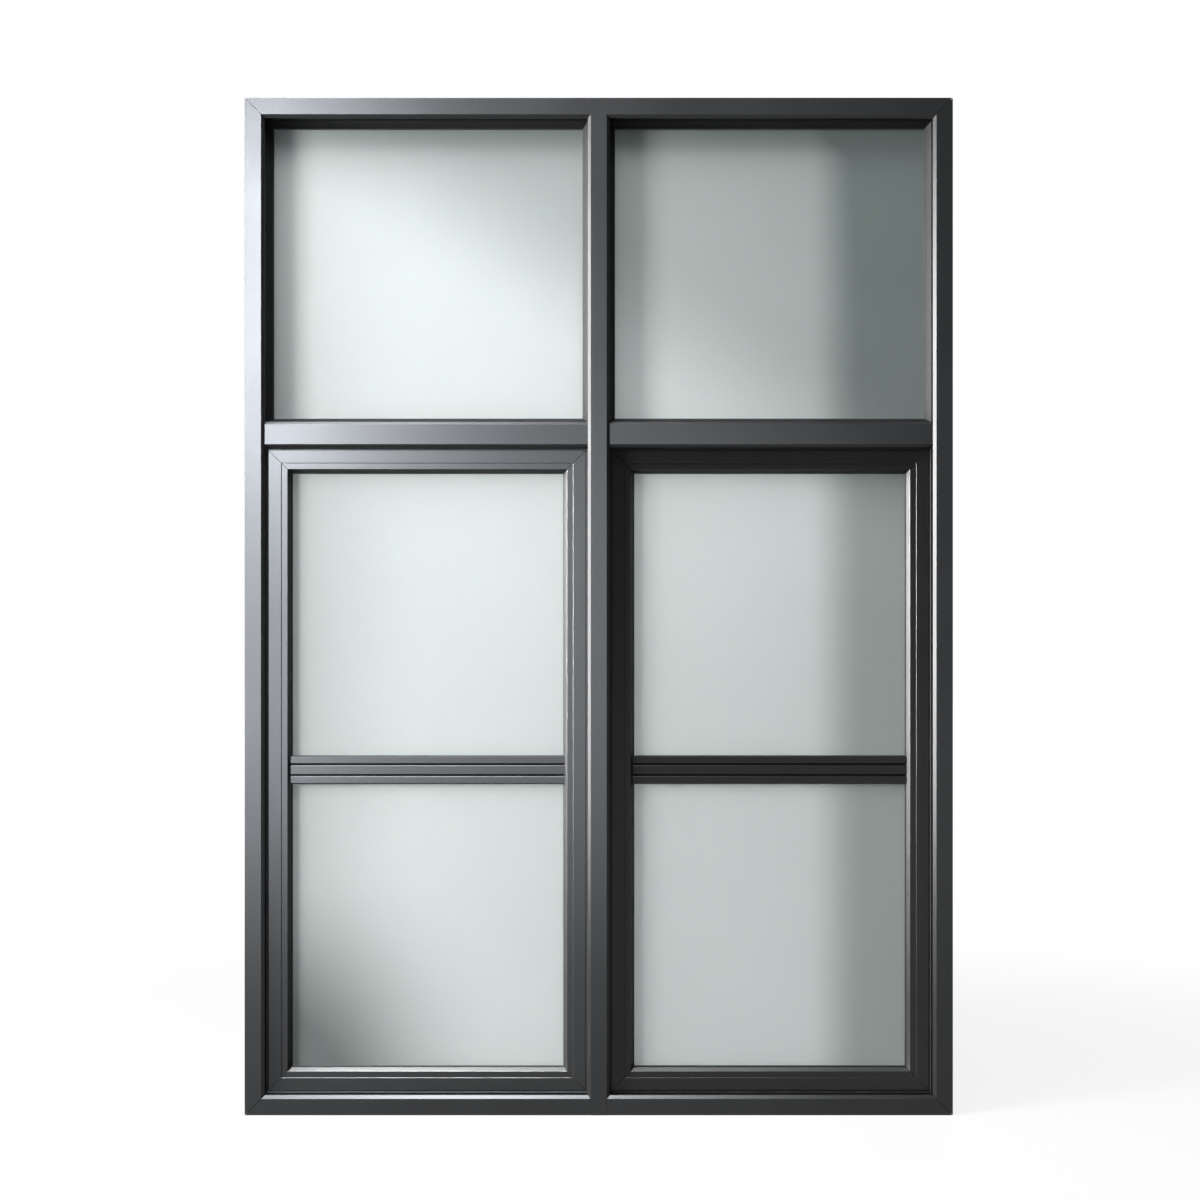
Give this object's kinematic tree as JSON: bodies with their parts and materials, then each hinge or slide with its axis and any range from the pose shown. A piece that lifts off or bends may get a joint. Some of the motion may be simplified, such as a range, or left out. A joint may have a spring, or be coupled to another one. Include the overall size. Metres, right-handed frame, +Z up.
{
  "type": "casement window",
  "caption": "Dark metal casement window: fixed top lights over side-hung sashes with a grooved middle rail, parted by a mullion and transoms.",
  "frame": {"origin": "middle of the bottom face of the sill, at mid width and mid depth of the fixed frame", "axes": "+X to the right seen from outside, +Y from outside to inside, +Z up"},
  "size_m": [1.42, 0.126, 2.04],
  "materials": {
    "dark_powder_coat": "satin anthracite powder coat on aluminium bars",
    "clear_glass": "clear float glass with a faint green cast",
    "black_gasket": "matt black rubber",
    "spacer_metal": "dull mill finish",
    "black_hardware": "satin black"
  },
  "bodies": {
    "root": {"frame_head": "dark_powder_coat", "frame_jamb_left": "dark_powder_coat", "frame_jamb_right": "dark_powder_coat", "frame_sill": "dark_powder_coat", "handle_base_left": "black_hardware", "handle_base_right": "black_hardware", "handle_lever_left": "black_hardware", "handle_lever_right": "black_hardware", "hinge_frame_leaves_left": "black_hardware", "hinge_frame_leaves_right": "black_hardware", "hinge_sash_leaves_left": "black_hardware", "hinge_sash_leaves_right": "black_hardware", "mullion": "dark_powder_coat", "sash_beads_left": "dark_powder_coat", "sash_beads_right": "dark_powder_coat", "sash_bottom_rail_left": "dark_powder_coat", "sash_bottom_rail_right": "dark_powder_coat", "sash_gaskets_left": "black_gasket", "sash_gaskets_right": "black_gasket", "sash_glass_left": "clear_glass", "sash_glass_right": "clear_glass", "sash_hinge_stile_left": "dark_powder_coat", "sash_hinge_stile_right": "dark_powder_coat", "sash_lock_stile_left": "dark_powder_coat", "sash_lock_stile_right": "dark_powder_coat", "sash_mid_rail_left": "dark_powder_coat", "sash_mid_rail_right": "dark_powder_coat", "sash_seals_left": "black_gasket", "sash_seals_right": "black_gasket", "sash_spacers_left": "spacer_metal", "sash_spacers_right": "spacer_metal", "sash_top_rail_left": "dark_powder_coat", "sash_top_rail_right": "dark_powder_coat", "top_light_beads_left": "dark_powder_coat", "top_light_beads_right": "dark_powder_coat", "top_light_gaskets_left": "black_gasket", "top_light_gaskets_right": "black_gasket", "top_light_glass_left": "clear_glass", "top_light_glass_right": "clear_glass", "top_light_liner_left": "dark_powder_coat", "top_light_liner_right": "dark_powder_coat", "top_light_spacer_left": "spacer_metal", "top_light_spacer_right": "spacer_metal", "transom_left": "dark_powder_coat", "transom_right": "dark_powder_coat"}
  },
  "joints": []
}
